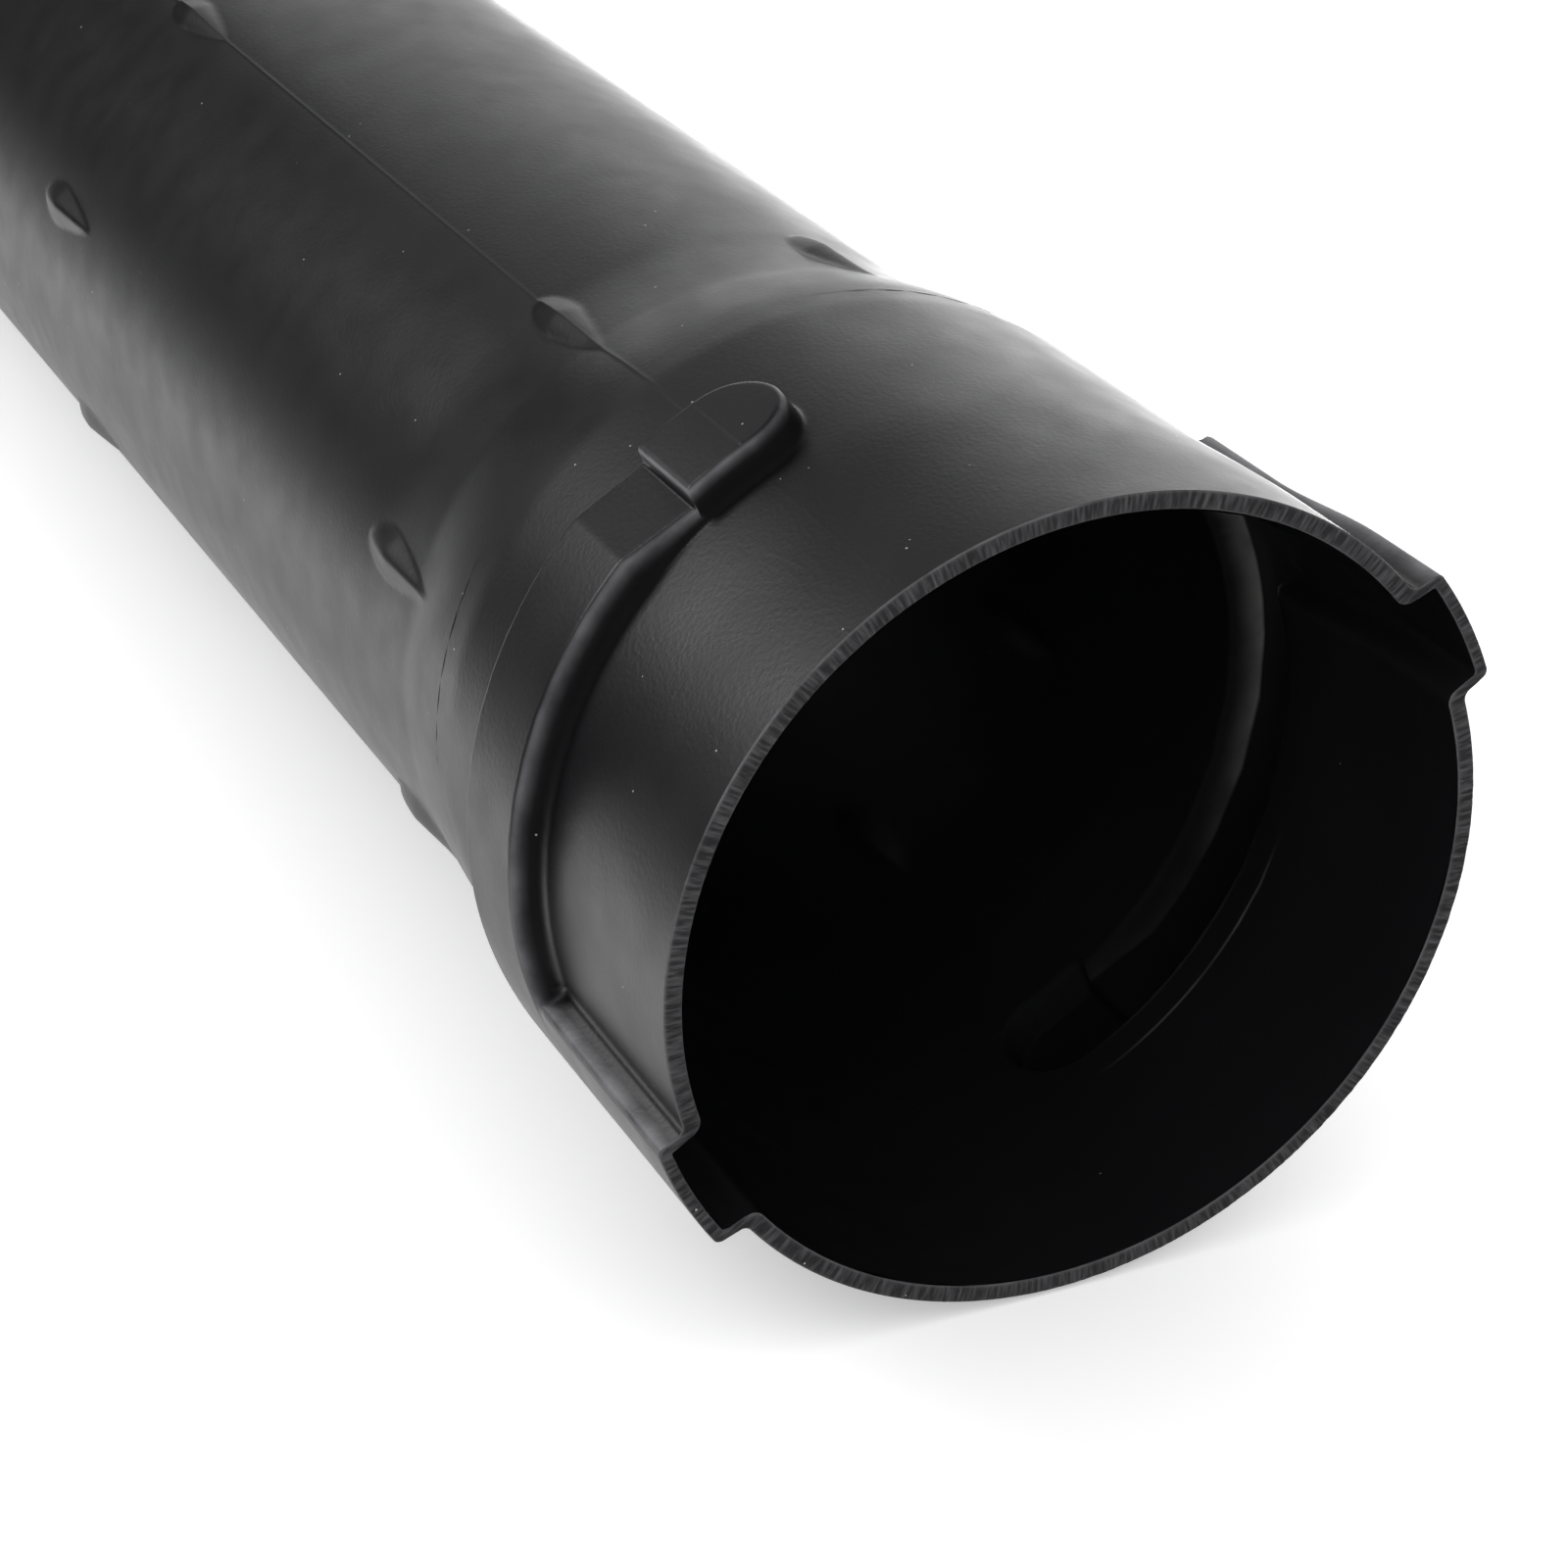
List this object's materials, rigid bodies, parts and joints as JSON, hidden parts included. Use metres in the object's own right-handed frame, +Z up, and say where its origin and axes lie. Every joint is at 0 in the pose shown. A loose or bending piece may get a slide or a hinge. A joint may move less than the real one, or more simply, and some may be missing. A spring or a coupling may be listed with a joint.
{
  "type": "leaf blower nozzle tube",
  "caption": "Straight round air tube with a bayonet socket at its mouth: open keyways lead into raised ridge tracks that ramp down to lock pads, and teardrop nubs ring the body.",
  "frame": {"origin": "on the ground under the middle of the tube's length", "axes": "+Z up, +X along the tube out of the socket's mouth, +Y to the left when looking along +X; the tube lies on its socket and on its outlet's edge, so its axis rises a quarter of a degree towards the mouth"},
  "size_m": [0.4004, 0.1002, 0.0932],
  "materials": {
    "hdpe": "satin black blow-moulded high-density polyethylene with a fine grain"
  },
  "bodies": {
    "root": {"blower_tube": "hdpe"}
  },
  "joints": []
}
